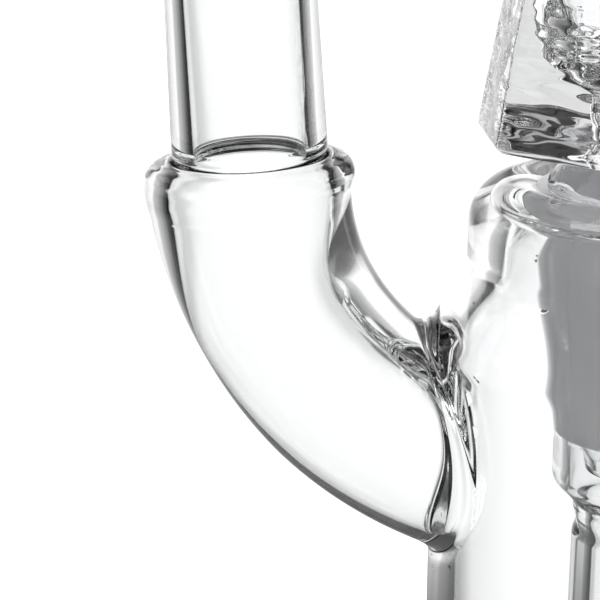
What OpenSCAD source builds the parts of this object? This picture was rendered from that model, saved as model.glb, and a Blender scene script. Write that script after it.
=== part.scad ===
// Glass bubbler: an upright water chamber on a flared foot, a swept side arm that rises
// beside it, a ring-sealed ground-glass socket with its downstem, and a heavy eight-sided
// cup on a ground cone that lifts out of the socket.
// Origin: centre of the foot's underside. +Z up the chamber's axis, side arm towards -X.

/* [Chamber] */
// Outside radius of the chamber tube
chamber_r = 21.2; // [20:0.1:23]
// Wall of the chamber tube
chamber_wall = 3; // [2:0.1:4]
// Height where the chamber tube meets the shoulder
chamber_top = 84; // [82:0.5:84.5]
// Radius of the foot
foot_r = 31; // [27:0.5:36]
// Height of the foot, up to the chamber tube
foot_h = 10; // [9:0.5:14]
// Thickness of the foot at its edge
foot_edge = 3.2; // [2.5:0.1:4]

/* [Shoulder and rim] */
// Height of the curved shoulder
shoulder_h = 8.5; // [8:0.5:9]
// Outside radius of the neck above the shoulder
neck_r = 17.8; // [17:0.1:18.5]
// Inside radius of the neck above the shoulder
neck_bore_r = 13.8; // [13:0.1:14.5]
// Height of the crest of the rolled rim
rim_top = 101; // [100.5:0.1:102]
// Radius of the circle along the crest of the rim
crest_r = 13.3; // [13:0.1:13.8]

/* [Ground joint] */
// Radius of the ground bore at its wide end (standard 14/23 joint)
joint_r = 7.25; // [7.2:0.01:7.3]
// Length of the ground surface
joint_l = 23; // [20:1:24]
// Radius lost for each millimetre of depth (1:10 on the diameter)
joint_taper = 0.05; // [0.049:0.001:0.051]
// Radial gap between the seated cone and its socket
joint_gap = 0.05; // [0.02:0.01:0.1]

/* [Downstem] */
// Outside radius of the downstem
stem_r = 5.5; // [5:0.1:6]
// Bore radius of the downstem
stem_bore_r = 3.2; // [2.8:0.1:3.6]
// Height of the weld between the socket's reducer and the downstem
stem_top = 61.8; // [60:0.1:63]
// Height of the closed end of the diffuser
tip_bottom = 9; // [8:0.5:14]
// Number of slits around the diffuser
slit_count = 6; // [4:1:8]
// Width of one slit
slit_w = 1.2; // [0.8:0.1:1.6]

/* [Side arm] */
// Radius of the sweep along the elbow's centreline
sweep_r = 35.6; // [35:0.1:36]
// Distance of the sweep's centre to the side of the chamber axis
sweep_x = 5.2; // [4.8:0.1:5.6]
// Height of the sweep's centre
sweep_z = 103.8; // [103:0.1:105]
// Outside radius of the elbow tube
elbow_r = 10.3; // [9.8:0.1:10.6]
// Wall of the elbow tube
elbow_wall = 2.6; // [2:0.1:3]
// Width of the weld around the elbow, on the elbow and on the chamber
weld_w = 2; // [1:0.1:2.4]

/* [Outlet tube] */
// Lean of the outlet tube away from the chamber, in degrees
outlet_lean = 2.8; // [2:0.1:4]
// Outside radius of the outlet tube where it leaves the collar
outlet_foot_r = 8.05; // [7.9:0.05:8.3]
// Outside radius of the outlet tube along its length
outlet_r = 7.6; // [7.4:0.05:7.9]
// Bore radius of the outlet tube
outlet_bore_r = 5.8; // [5.2:0.1:6]
// Length of the outlet tube between its collar and its mouth ring
outlet_l = 82; // [60:1:110]

/* [Cup] */
// Corner radius of the eight-sided cup at its base
cup_base_r = 17.9; // [17:0.1:18]
// Corner radius of the eight-sided cup at its rim
cup_top_r = 13.2; // [12.8:0.1:14]
// Height of the cup
cup_h = 26; // [24:0.5:30]
// Height of the cup's underside above the foot
cup_z = 105.2; // [105:0.1:107]
// Radius of the bowl inside the cup at its rim
bowl_r = 9.6; // [9:0.1:10]
// Radius of the hole that drains the bowl
throat_r = 2.4; // [2:0.1:2.8]

/* [Hidden] */
$fn = 96;

chamber_bore_r = chamber_r - chamber_wall;
neck_z = chamber_top + shoulder_h;      // where the shoulder meets the rolled rim
seal_z = rim_top - 4;                   // height of the ring seal's lower face
joint_z = seal_z - 0.4;                 // wide end of the ground bore
socket_bottom = joint_z - joint_l;      // narrow end of the ground bore
socket_end_r = joint_r - joint_taper * joint_l;
socket_top_r = 11;                      // outside radius of the socket under the rim
reducer_r = 7.9;                        // outside radius of the socket's narrow end
weld_h = 3.4;                           // height of the ring where the downstem is welded on
tip_h = 10;                             // height of the diffuser
tip_r = 7;                              // outside radius of the diffuser
tip_wall = 1.8;
elbow_bore_r = elbow_r - elbow_wall;
sweep_start = 8;                        // sweep angle where the elbow meets the collar
sweep_end = 76;                         // sweep angle where the elbow is inside the chamber
collar_h = 4;
collar_r = 10.7;
outlet_taper_l = 18;                    // length over which the outlet tube draws down
mouth_h = 4;
mouth_r = 9.4;
cup_turn = 2.5;                         // turn of the cup's flats about its axis, in degrees
face_lean = atan((cup_base_r - cup_top_r) * cos(22.5) / cup_h);
glass = [0.93, 0.95, 0.97, 0.45];
frosted = [0.75, 0.76, 0.78, 0.9];

// Points of an ellipse's arc in the [radius, height] plane
function arc(cx, cz, a, b, from, to, n = 10) =
    [for (i = [0:n]) let (t = from + (to - from) * i / n) [cx + a * cos(t), cz + b * sin(t)]];
// Points of a smooth S between two radii
function s_curve(r0, z0, r1, z1, n = 10) =
    [for (i = [0:n]) [r0 + (r1 - r0) * (1 - cos(180 * i / n)) / 2, z0 + (z1 - z0) * i / n]];
// Point of the elbow's centreline at a sweep angle
function sweep_point(a) = [-sweep_x - sweep_r * cos(a), 0, sweep_z - sweep_r * sin(a)];

// Solid of revolution about the chamber axis
module turned(points) {
    rotate_extrude() polygon(points);
}

// Part of the sweep: a bent round bar of radius r between two sweep angles
module sweep_bar(r, from, to) {
    translate([-sweep_x, 0, sweep_z])
        rotate([90, 0, 0])
            rotate([0, 0, 180 + from])
                rotate_extrude(angle = to - from)
                    translate([sweep_r, 0])
                        circle(r = r);
}

// Places its children at the elbow's upper end, with +Z along the outlet tube
module at_outlet() {
    translate(sweep_point(sweep_start)) rotate([0, -outlet_lean, 0]) children();
}

module base_foot() {
    edge = foot_edge / 2;
    floor_z = 4.4;
    corner = foot_h - floor_z;
    color(glass)
        turned(concat(
            [[0, 0], [foot_r - edge, 0]],
            arc(foot_r - edge, edge, edge, edge, -75, 75, 8),
            [[foot_r - edge, foot_edge], [chamber_r + 4.2, foot_edge + 0.6]],
            arc(chamber_r + 4.2, foot_h, 4.2, foot_h - foot_edge - 0.6, -105, -180, 6),
            arc(chamber_bore_r - corner, foot_h, corner, corner, 0, -75, 6),
            [[chamber_bore_r - corner, floor_z], [0, floor_z]]));
}

module chamber() {
    color(glass)
        difference() {
            translate([0, 0, foot_h]) cylinder(r = chamber_r, h = chamber_top - foot_h);
            translate([0, 0, foot_h - 1]) cylinder(r = chamber_bore_r, h = chamber_top - foot_h + 2);
            sweep_bar(elbow_bore_r, sweep_start + 30, sweep_end);
        }
}

module shoulder() {
    color(glass)
        turned(concat(
            s_curve(chamber_r, chamber_top, neck_r, neck_z),
            s_curve(neck_bore_r, neck_z, chamber_bore_r, chamber_top)));
}

// The neck folds over in a fat roll and closes on the socket: the ring seal
module rim_bead() {
    dome_h = rim_top - 96.2;
    gap_r = (neck_bore_r - socket_top_r) / 2;
    color(glass)
        turned(concat(
            [[neck_r, neck_z]],
            arc(crest_r, rim_top - dome_h, neck_r - crest_r, dome_h, 0, 90),
            arc(crest_r, rim_top - 3.6, 4.2, 3.6, 100, 160, 6),
            [[joint_r + 0.45, seal_z], [socket_top_r, seal_z]],
            arc(socket_top_r + gap_r, seal_z, gap_r, gap_r, 160, 0, 8),
            [[neck_bore_r, neck_z]]));
}

module ground_socket() {
    color(frosted)
        turned([[socket_end_r, socket_bottom], [reducer_r, socket_bottom], [socket_top_r, seal_z],
                [joint_r + 0.45, seal_z], [joint_r, joint_z]]);
}

module socket_reducer() {
    straight = 6;
    foot_z = stem_top + weld_h;
    bend_z = socket_bottom - straight;
    color(glass)
        turned(concat(
            [[socket_end_r, socket_bottom], [socket_end_r - 0.1, bend_z]],
            s_curve(socket_end_r - 0.1, bend_z, stem_bore_r, foot_z, 6),
            s_curve(stem_r, foot_z, reducer_r, bend_z, 6),
            [[reducer_r, socket_bottom]]));
}

// Drawn in to a slight waist where the downstem is melted on
module stem_weld() {
    waist = 0.4;
    color(glass)
        turned(concat(
            [[stem_bore_r, stem_top], [stem_r, stem_top]],
            arc(stem_r, stem_top + weld_h / 2, -waist, weld_h / 2, -70, 70, 6),
            [[stem_r, stem_top + weld_h], [stem_bore_r, stem_top + weld_h]]));
}

module downstem() {
    stem_l = stem_top - tip_bottom - tip_h;
    color(glass)
        translate([0, 0, stem_top - stem_l])
            difference() {
                cylinder(r = stem_r, h = stem_l);
                translate([0, 0, -1]) cylinder(r = stem_bore_r, h = stem_l + 2);
            }
}

// Closed, rounded end with upright slits that break the flow into bubbles
module diffuser_tip() {
    inner_r = tip_r - tip_wall;
    crown_z = tip_bottom + tip_h;
    color(glass)
        difference() {
            turned(concat(
                [[0, tip_bottom]],
                arc(tip_r - 2.5, tip_bottom + 2.5, 2.5, 2.5, -75, 0, 6),
                s_curve(tip_r, crown_z - 3, stem_r, crown_z, 6),
                s_curve(stem_bore_r, crown_z, inner_r, crown_z - 3.4, 6),
                [[inner_r, tip_bottom + tip_wall], [0, tip_bottom + tip_wall]]));
            for (i = [0:slit_count - 1])
                rotate([0, 0, (i + 0.5) * 360 / slit_count])
                    translate([inner_r - 1, -slit_w / 2, tip_bottom + 2.8])
                        cube([tip_wall + 3, slit_w, 3.6]);
        }
}

module side_elbow() {
    color(glass)
        difference() {
            sweep_bar(elbow_r, sweep_start, sweep_end);
            sweep_bar(elbow_bore_r, sweep_start - 2, sweep_end + 2);
            translate([0, 0, foot_h]) cylinder(r = chamber_r, h = chamber_top);
        }
}

// Collar of melted glass around the elbow where it is welded to the chamber
module elbow_weld() {
    color(glass)
        difference() {
            intersection() {
                sweep_bar(elbow_r + weld_w, sweep_start + 20, sweep_end);
                cylinder(r = chamber_r + weld_w, h = chamber_top + 4);
            }
            sweep_bar(elbow_r, sweep_start, sweep_end + 2);
            translate([0, 0, -1]) cylinder(r = chamber_r, h = chamber_top + 10);
        }
}

// Closes the wide elbow on to the narrower outlet tube
module arm_collar() {
    skirt = 3;
    shoulder_z = 1.2;
    rise = collar_h - shoulder_z;
    color(glass)
        difference() {
            at_outlet()
                turned(concat(
                    [[elbow_bore_r, -skirt], [collar_r - 0.3, -skirt], [collar_r, 0]],
                    arc(outlet_foot_r, shoulder_z, collar_r - outlet_foot_r, rise, 0, 75, 8),
                    [[outlet_foot_r, collar_h], [outlet_bore_r, collar_h]],
                    s_curve(outlet_bore_r, collar_h - 1, elbow_bore_r, 0, 6)));
            translate(sweep_point(sweep_start))
                rotate([0, -sweep_start, 0])
                    translate([-20, -20, -10])
                        cube([40, 40, 10]);
        }
}

module outlet_tube() {
    color(glass)
        at_outlet()
            translate([0, 0, collar_h])
                difference() {
                    turned([[0, 0], [outlet_foot_r, 0], [outlet_r, outlet_taper_l],
                            [outlet_r, outlet_l], [0, outlet_l]]);
                    translate([0, 0, -1]) cylinder(r = outlet_bore_r, h = outlet_l + 2);
                }
}

module mouth_ring() {
    lip = 1.7;
    color(glass)
        at_outlet()
            translate([0, 0, collar_h + outlet_l])
                turned(concat(
                    [[outlet_bore_r, 0]],
                    s_curve(outlet_r, 0, mouth_r, mouth_h - lip, 6),
                    arc(mouth_r - lip, mouth_h - lip, lip, lip, 15, 165, 8),
                    [[outlet_bore_r + 0.2, mouth_h - 2.6]]));
}

// Thick eight-sided cup: a turned blank with eight leaning flats and a deep bowl
module cup() {
    rounding = 2;
    blank_base_r = cup_base_r - 0.15;
    blank_top_r = cup_top_r - 0.15;
    bowl_floor = 4.6;                   // thickness of glass under the bowl
    bowl_foot_r = 8.9;                  // radius of the bowl just above its rounded floor
    bowl_corner = 5.5;
    color(glass)
        translate([0, 0, cup_z])
            difference() {
                turned(concat(
                    [[0, 0]],
                    arc(blank_base_r - rounding, rounding, rounding, rounding, -75, -5, 5),
                    arc(blank_top_r - rounding, cup_h - rounding, rounding, rounding, 5, 85, 5),
                    [[0, cup_h]]));
                for (i = [0:7])
                    rotate([0, 0, cup_turn + 45 * i])
                        translate([cup_base_r * cos(22.5), -20, 0])
                            rotate([0, -face_lean, 0])
                                translate([0, 0, -10])
                                    cube([20, 40, cup_h + 30]);
                turned(concat(
                    [[0, bowl_floor], [throat_r, bowl_floor]],
                    arc(bowl_foot_r - bowl_corner, bowl_floor + 0.8 + bowl_corner,
                        bowl_corner, bowl_corner, -80, 0, 6),
                    [[bowl_r, cup_h + 1], [0, cup_h + 1]]));
                translate([0, 0, -1]) cylinder(r = throat_r, h = bowl_floor + 2);
            }
}

// Rounded knop between the cup and its ground cone
module cup_neck() {
    waist_r = 6.2;
    knop_r = 9.8;
    color(glass)
        turned(concat(
            [[throat_r, cup_z], [waist_r, cup_z], [waist_r, cup_z - 1.2]],
            arc(waist_r, rim_top - 1, knop_r - waist_r, 3, 80, 0, 8),
            [[9.1, 99.2], [8.4, 98.3], [joint_r - joint_gap, joint_z], [throat_r, joint_z]]));
}

module ground_cone() {
    top_r = joint_r - joint_gap;
    cone_l = joint_l - 1;
    bore_r = 4.3;
    color(frosted)
        turned([[throat_r, joint_z], [top_r, joint_z],
                [top_r - joint_taper * cone_l, joint_z - cone_l],
                [bore_r, joint_z - cone_l], [bore_r, joint_z - 3]]);
}

// Clear drawn-down end of the cone that sheds drops into the downstem
module drip_tip() {
    top_z = joint_z - joint_l + 1;
    color(glass)
        turned([[4.3, top_z], [socket_end_r - joint_gap, top_z], [5.3, top_z - 1.2],
                [4.5, top_z - 4.6], [3.4, top_z - 5], [3.4, top_z - 3]]);
}

base_foot();
chamber();
shoulder();
rim_bead();
ground_socket();
socket_reducer();
stem_weld();
downstem();
diffuser_tip();
side_elbow();
elbow_weld();
arm_collar();
outlet_tube();
mouth_ring();
cup();
cup_neck();
ground_cone();
drip_tip();
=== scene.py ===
"""Looks of the glass bubbler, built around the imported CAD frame.

Lengths are millimetres until build() turns them into metres.
"""
import math

import bpy
import numpy as np
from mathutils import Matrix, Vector, geometry


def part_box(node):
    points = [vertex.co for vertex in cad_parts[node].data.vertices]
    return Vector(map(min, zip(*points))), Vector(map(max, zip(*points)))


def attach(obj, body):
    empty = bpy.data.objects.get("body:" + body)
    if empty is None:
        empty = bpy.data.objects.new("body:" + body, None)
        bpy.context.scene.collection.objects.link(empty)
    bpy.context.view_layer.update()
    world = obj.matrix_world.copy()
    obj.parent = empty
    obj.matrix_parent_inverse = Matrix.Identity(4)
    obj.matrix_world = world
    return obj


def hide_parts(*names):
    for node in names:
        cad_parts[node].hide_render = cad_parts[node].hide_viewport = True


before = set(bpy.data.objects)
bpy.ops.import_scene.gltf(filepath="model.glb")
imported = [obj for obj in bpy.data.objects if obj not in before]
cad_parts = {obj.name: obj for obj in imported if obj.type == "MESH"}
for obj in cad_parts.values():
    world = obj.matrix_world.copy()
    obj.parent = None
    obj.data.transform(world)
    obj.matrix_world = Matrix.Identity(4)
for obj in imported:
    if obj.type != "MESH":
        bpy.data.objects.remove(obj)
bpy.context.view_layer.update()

METRES = 0.001
GLASS, CONTACT, GROUND = 0, 1, 2  # material slots: clear surface, fused joint, ground surface


def node_top(node):
    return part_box(node)[1][2] / METRES


def node_bottom(node):
    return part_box(node)[0][2] / METRES


def node_radius(node):
    low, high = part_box(node)
    return (high[1] - low[1]) / 2 / METRES


# --- sizes, from the frame where it has them ----------------------------------
SEGMENTS = 144  # around every round piece
FOOT_R = node_radius("base_foot")
FOOT_TOP = node_top("base_foot")
CHAMBER_R = node_radius("chamber")
CHAMBER_WALL = 3.0
CHAMBER_BORE = CHAMBER_R - CHAMBER_WALL
SHOULDER_Z0 = node_bottom("shoulder")
SHOULDER_Z1 = node_top("shoulder")
NECK_R = node_radius("rim_bead")
NECK_WALL = 4.0
NECK_BORE = NECK_R - NECK_WALL
RIM_TOP = node_top("rim_bead")
CREST_R = NECK_R - 4.5  # where the rolled rim is highest
DOME_Z = 96.2  # where the outside of the neck starts to roll over
SEAL_Z = node_top("ground_socket")  # lower face of the ring seal
SOCKET_TOP_R = node_radius("ground_socket")
SOCKET_BOTTOM = node_bottom("ground_socket")
JOINT_R = 7.25  # wide end of the ground bore
JOINT_TAPER = 0.05  # on each side
JOINT_GAP = 0.05  # between cone and socket
JOINT_Z = SEAL_Z - 0.4
JOINT_END_R = JOINT_R - JOINT_TAPER * (JOINT_Z - SOCKET_BOTTOM)
JOINT_MOUTH_R = JOINT_R + 0.45  # the ground bore opens to this at the ring seal
REDUCER_R = node_radius("socket_reducer")
REDUCER_FOOT = node_bottom("socket_reducer")
STEM_TOP = node_top("downstem")
STEM_R = node_radius("downstem")
STEM_BORE = 3.2
STEM_WAIST = 0.4  # how far the weld on the downstem is drawn in
TIP_TOP = node_top("diffuser_tip")
TIP_BOTTOM = node_bottom("diffuser_tip")
TIP_R = node_radius("diffuser_tip")
CUP_TOP = node_top("cup")
CUP_BOTTOM = node_bottom("cup")
CUP_SEAT_R = 6.3  # where the cup is fused to its neck
CUP_SEAT_Z = CUP_BOTTOM + 0.25
THROAT_R = 2.4  # drain hole of the cup
CONE_BOTTOM = node_bottom("ground_cone")
CONE_R = JOINT_R - JOINT_GAP
CONE_END_R = CONE_R - JOINT_TAPER * (JOINT_Z - CONE_BOTTOM)
CONE_BORE = 4.3
DRIP_BOTTOM = node_bottom("drip_tip")
SWEEP_R = 35.6  # radius of the side arm's centreline
SWEEP_X = -5.2  # centre of the sweep
SWEEP_Z = 103.8
SWEEP_TOP = 2.8  # sweep angle and lean where the arm turns straight, in degrees
ELBOW_TOP = -3.2  # distance along the arm where the collar takes over from the elbow
TUBE_FOOT = 3.0  # and where the tube takes over from the collar
ARM_LENGTH = 82.0  # of the straight tube, mouth ring included
MOUTH_RING_H = 2.3
TUBE_TOP = TUBE_FOOT + ARM_LENGTH - MOUTH_RING_H
TUBE_FOOT_R, TUBE_R = 8.05, 7.6
TUBE_FOOT_BORE, TUBE_BORE = 5.85, 5.8
TUBE_INSET = 0.4  # the tube sits this far towards the inside of the bend
WELD_PORT_Z = 90.0  # the weld's skirt reaches up to here, so the chamber's glass does too


# --- outlines: rows of radius, height, and the unit direction of travel -------
def line(start, end, count=1):
    start, end = np.array(start, float), np.array(end, float)
    t = np.linspace(0, 1, count + 1)[:, None]
    way = (end - start) / np.linalg.norm(end - start)
    return np.hstack([start + (end - start) * t, np.repeat(way[None], count + 1, 0)])


def arc(centre, radii, start, stop, count=12):
    """Part of an ellipse, in degrees, travelled from start to stop."""
    t = np.radians(np.linspace(start, stop, count + 1))
    sign = 1 if stop > start else -1
    point = np.stack([centre[0] + radii[0] * np.cos(t), centre[1] + radii[1] * np.sin(t)], 1)
    way = sign * np.stack([-radii[0] * np.sin(t), radii[1] * np.cos(t)], 1)
    return np.hstack([point, way / np.linalg.norm(way, axis=1)[:, None]])


def swell(start, end, count=14):
    """A smooth S from one radius to another, upright at both ends."""
    t = np.linspace(0, 1, count + 1)
    (r0, z0), (r1, z1) = start, end
    r = r0 + (r1 - r0) * (1 - np.cos(np.pi * t)) / 2
    z = z0 + (z1 - z0) * t
    way = np.stack([(r1 - r0) * np.pi / 2 * np.sin(np.pi * t), np.full_like(t, z1 - z0)], 1)
    return np.hstack([np.stack([r, z], 1), way / np.linalg.norm(way, axis=1)[:, None]])


def flow(points, count=8):
    """A smooth curve through given points, its ends along the first and last stretch."""
    p = np.array(points, float)
    chord = np.sqrt(np.linalg.norm(np.diff(p, axis=0), axis=1))
    knot = np.concatenate([[0], np.cumsum(chord)])
    slope = np.gradient(p, knot, axis=0)
    slope[0] = (p[1] - p[0]) / chord[0]
    slope[-1] = (p[-1] - p[-2]) / chord[-1]
    rows = []
    for i in range(len(p) - 1):
        span = knot[i + 1] - knot[i]
        t = np.linspace(0, 1, count + 1)[(0 if i == 0 else 1):, None]
        point = ((2 * t**3 - 3 * t**2 + 1) * p[i] + (t**3 - 2 * t**2 + t) * span * slope[i]
                 + (3 * t**2 - 2 * t**3) * p[i + 1] + (t**3 - t**2) * span * slope[i + 1])
        way = ((6 * t**2 - 6 * t) * p[i] + (3 * t**2 - 4 * t + 1) * span * slope[i]
               + (6 * t - 6 * t**2) * p[i + 1] + (3 * t**2 - 2 * t) * span * slope[i + 1])
        rows.append(np.hstack([point, way / np.linalg.norm(way, axis=1)[:, None]]))
    return np.vstack(rows)


# --- axes: an outline turns about one of these --------------------------------
def upright(height):
    """Centre, direction and bend of the chamber's axis at each height."""
    zero, one = np.zeros_like(height), np.ones_like(height)
    return np.stack([zero, zero, height], -1), np.stack([zero, zero, one], -1), zero


def side_arm(along):
    """The side arm's centreline. along is 0 where the sweep turns straight, and grows upwards."""
    turn = np.radians(SWEEP_TOP) + np.maximum(-along, 0) / SWEEP_R
    straight = np.maximum(along, 0)
    step = np.clip((along + 4) / 7, 0, 1)
    inset = TUBE_INSET * step**2 * (3 - 2 * step)
    zero = np.zeros_like(along)
    way = np.stack([-np.sin(turn), zero, np.cos(turn)], -1)
    arc_x = SWEEP_X - SWEEP_R * np.cos(turn) + inset
    arc_point = np.stack([arc_x, zero, SWEEP_Z - SWEEP_R * np.sin(turn)], -1)
    return arc_point + way * straight[..., None], way, np.where(along < 0, 1 / SWEEP_R, 0.0)


def turned_grid(outline, axis, segments=SEGMENTS):
    """Points and outward normals of an outline turned about an axis, glass on its left."""
    angle = np.linspace(0, 2 * np.pi, segments, endpoint=False)[None]
    radius, along, way_r, way_s = (outline[:, i, None] for i in range(4))
    centre, axial, bend = axis(outline[:, 1])
    side = np.array([0.0, 1.0, 0.0])
    across = -np.cross(side, axial)  # towards -X at angle 0, where the side arm is
    out = across[:, None] * np.cos(angle)[..., None] + side * np.sin(angle)[..., None]
    stretch = 1 + bend[:, None] * radius * np.cos(angle)
    point = centre[:, None] + out * radius[..., None]
    normal = (out * (way_s * stretch)[..., None]
              - axial[:, None] * (way_r + 0 * angle)[..., None])
    return point, normal / np.linalg.norm(normal, axis=2)[..., None]


# --- meshes -------------------------------------------------------------------
class Skin:
    """Collects the patches of one closed piece, with a normal for every corner of every face."""

    def __init__(self):
        self.points, self.normals, self.faces, self.slots = [], [], [], []
        self.count = 0

    def add(self, points, normals, faces, slot):
        """faces index points. Each is turned to agree with its corners' normals."""
        faces = np.asarray(faces)
        corners = points[faces]
        facing = np.zeros((len(faces), 3))
        for i in range(faces.shape[1]):
            facing += np.cross(corners[:, i], corners[:, (i + 1) % faces.shape[1]])
        wrong = np.einsum("ij,ij->i", facing, normals[faces].mean(1)) < 0
        faces = faces.copy()
        faces[wrong] = faces[wrong][:, ::-1]
        self.points.append(points)
        self.normals.append(normals)
        self.faces += [f + self.count for f in faces]
        self.slots += [slot] * len(faces)
        self.count += len(points)

    def grid(self, points, normals, slot=GLASS):
        """A closed band: rows of rings."""
        rows, segments = points.shape[:2]
        index = np.arange(rows * segments).reshape(rows, segments)
        after = np.roll(index, -1, axis=1)
        faces = np.stack([index[:-1], after[:-1], after[1:], index[1:]], -1).reshape(-1, 4)
        self.add(points.reshape(-1, 3), normals.reshape(-1, 3), faces, slot)

    def joint(self, ring_a, ring_b, toward):
        """A flat band between two rings, where this piece is fused to its neighbour."""
        toward = np.broadcast_to(np.asarray(toward, float), ring_a.shape)
        self.grid(np.stack([ring_a, ring_b]), np.stack([toward, toward]), CONTACT)

    def turn(self, outline, axis=upright, slot=GLASS):
        point, normal = turned_grid(outline, axis)
        self.grid(point, normal, slot)


def build(name, skin, materials, body, slot, *nodes):
    """Makes the Blender object, in metres, and ties it to its body and its nodes."""
    points = np.vstack(skin.points)
    normals = np.vstack(skin.normals)
    _, first, merged = np.unique(np.round(points, 5), axis=0,
                                 return_index=True, return_inverse=True)
    merged = merged.reshape(-1)
    faces, loops, slots = [], [], []
    for face, kind in zip(skin.faces, skin.slots, strict=True):
        corners = [i for n, i in enumerate(face) if merged[i] != merged[face[n - 1]]]
        if len(corners) > 2:
            faces.append([int(merged[i]) for i in corners])
            loops += corners
            slots.append(kind)
    mesh = bpy.data.meshes.new(name)
    mesh.from_pydata((points[first] * METRES).tolist(), [], faces)
    used = sorted(set(slots))
    for kind in used:
        mesh.materials.append(materials[kind])
    mesh.polygons.foreach_set("material_index", [used.index(kind) for kind in slots])
    mesh.polygons.foreach_set("use_smooth", [True] * len(faces))
    mesh.normals_split_custom_set(normals[loops].tolist())
    mesh.update()
    piece = bpy.data.objects.new(name, mesh)
    bpy.context.scene.collection.objects.link(piece)
    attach(piece, body)
    if nodes:
        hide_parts(*nodes)
    return piece


# --- materials ----------------------------------------------------------------
GLASS_IOR = 1.474  # borosilicate


def new_material(name):
    material = bpy.data.materials.new(name)
    material.use_nodes = True
    shader = material.node_tree.nodes["Principled BSDF"]
    return material, material.node_tree.nodes, material.node_tree.links, shader


def add_noise(nodes, links, vector, scale, detail=2.0):
    noise = nodes.new("ShaderNodeTexNoise")
    noise.inputs["Scale"].default_value = scale
    noise.inputs["Detail"].default_value = detail
    links.new(vector, noise.inputs["Vector"])
    return noise.outputs["Fac"]


def add_bump(nodes, links, shader, height, strength, distance):
    bump = nodes.new("ShaderNodeBump")
    bump.inputs["Strength"].default_value = strength
    bump.inputs["Distance"].default_value = distance
    links.new(height, bump.inputs["Height"])
    links.new(bump.outputs["Normal"], shader.inputs["Normal"])


def blown_glass(name, tint, wave_scale, wave_stretch, wave_strength):
    """Clear glass. Slow waves in the surface bend what is seen through it, as drawn glass does."""
    material, nodes, links, shader = new_material(name)
    shader.inputs["Base Color"].default_value = (*tint, 1)
    shader.inputs["Roughness"].default_value = 0.0
    shader.inputs["IOR"].default_value = GLASS_IOR
    shader.inputs["Transmission Weight"].default_value = 1.0
    place = nodes.new("ShaderNodeTexCoord")
    stretch = nodes.new("ShaderNodeMapping")
    stretch.inputs["Scale"].default_value = wave_stretch
    links.new(place.outputs["Object"], stretch.inputs["Vector"])
    wave = add_noise(nodes, links, stretch.outputs["Vector"], wave_scale, 1.0)
    add_bump(nodes, links, shader, wave, wave_strength, 0.0006)
    return material


def ground_glass(name):
    """The matt, finely ground surface of the taper joint."""
    material, nodes, links, shader = new_material(name)
    shader.inputs["Base Color"].default_value = (0.985, 0.985, 1.0, 1)
    shader.inputs["IOR"].default_value = GLASS_IOR
    shader.inputs["Transmission Weight"].default_value = 0.3
    place = nodes.new("ShaderNodeTexCoord")
    grain = add_noise(nodes, links, place.outputs["Object"], 2500, 3)
    patch = add_noise(nodes, links, place.outputs["Object"], 140)
    rough = nodes.new("ShaderNodeMapRange")
    rough.inputs["To Min"].default_value = 0.55
    rough.inputs["To Max"].default_value = 0.72
    links.new(patch, rough.inputs["Value"])
    links.new(rough.outputs["Result"], shader.inputs["Roughness"])
    add_bump(nodes, links, shader, grain, 0.25, 0.00005)
    return material


def fused_joint(name):
    """Where two glass sections are melted together there is no surface to see."""
    material, _, _, shader = new_material(name)
    shader.inputs["Base Color"].default_value = (1, 1, 1, 1)
    shader.inputs["Alpha"].default_value = 0.0
    return material


clear = blown_glass("clear_glass", (0.985, 0.99, 0.992), 60, (1, 1, 0.35), 0.02)
cup_clear = blown_glass("cup_glass", (0.98, 0.985, 0.99), 150, (1, 1, 3), 1.0)
ground = ground_glass("ground_glass")
fused = fused_joint("fused_joint")
VESSEL_SLOTS = {GLASS: clear, CONTACT: fused, GROUND: ground}
CUP_SLOTS = {GLASS: cup_clear, CONTACT: fused, GROUND: ground}


# --- outlines of the vessel ---------------------------------------------------
INNER_DROP = 2.1  # the inner face starts to turn in this much lower, so the wall stays even


def shoulder_radius(height, low, high):
    """Radius of the chamber wall's outer or inner face at a height, and its slope."""
    start = SHOULDER_Z0 - (INNER_DROP if low < CHAMBER_R else 0)
    rise = SHOULDER_Z1 - start
    t = np.clip((height - start) / rise, 0, 1)
    slope = (high - low) * np.pi / 2 * np.sin(np.pi * t) / rise
    return low + (high - low) * (1 - np.cos(np.pi * t)) / 2, slope


def wall_outline(heights, low, high):
    """The chamber wall between heights, travelled in their order."""
    heights = np.asarray(heights, float)
    radius, slope = shoulder_radius(heights, low, high)
    sign = 1.0 if heights[-1] > heights[0] else -1.0
    size = np.sqrt(1 + slope**2)
    return np.stack([radius, heights, sign * slope / size, sign / size], 1)


def ring_at(radius, height, axis=upright):
    """One ring of points."""
    return turned_grid(np.array([[radius, height, 0.0, 1.0]]), axis)[0][0]


UP, DOWN = (0, 0, 1), (0, 0, -1)


def make_base_foot():
    skin = Skin()
    edge = 1.6
    rise = CHAMBER_R + 4.2
    floor_z = 4.4
    corner = FOOT_TOP - floor_z
    skin.turn(line((0, 0), (FOOT_R - edge, 0), 2))
    skin.turn(arc((FOOT_R - edge, edge), (edge, edge), -90, 90, 14))
    skin.turn(flow([(FOOT_R - edge, 2 * edge), (rise + 1.5, 3.35), (rise - 1.2, 4.1),
                    (CHAMBER_R + 1.1, 6.0), (CHAMBER_R + 0.2, 8.2), (CHAMBER_R, FOOT_TOP)], 6))
    skin.turn(line((CHAMBER_R, FOOT_TOP), (CHAMBER_BORE, FOOT_TOP)), slot=CONTACT)
    skin.turn(arc((CHAMBER_BORE - corner, FOOT_TOP), (corner, corner), 0, -90, 14))
    skin.turn(line((CHAMBER_BORE - corner, floor_z), (0, floor_z), 2))
    build("base_foot_glass", skin, VESSEL_SLOTS, "vessel", "clear_glass", "base_foot")


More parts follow.
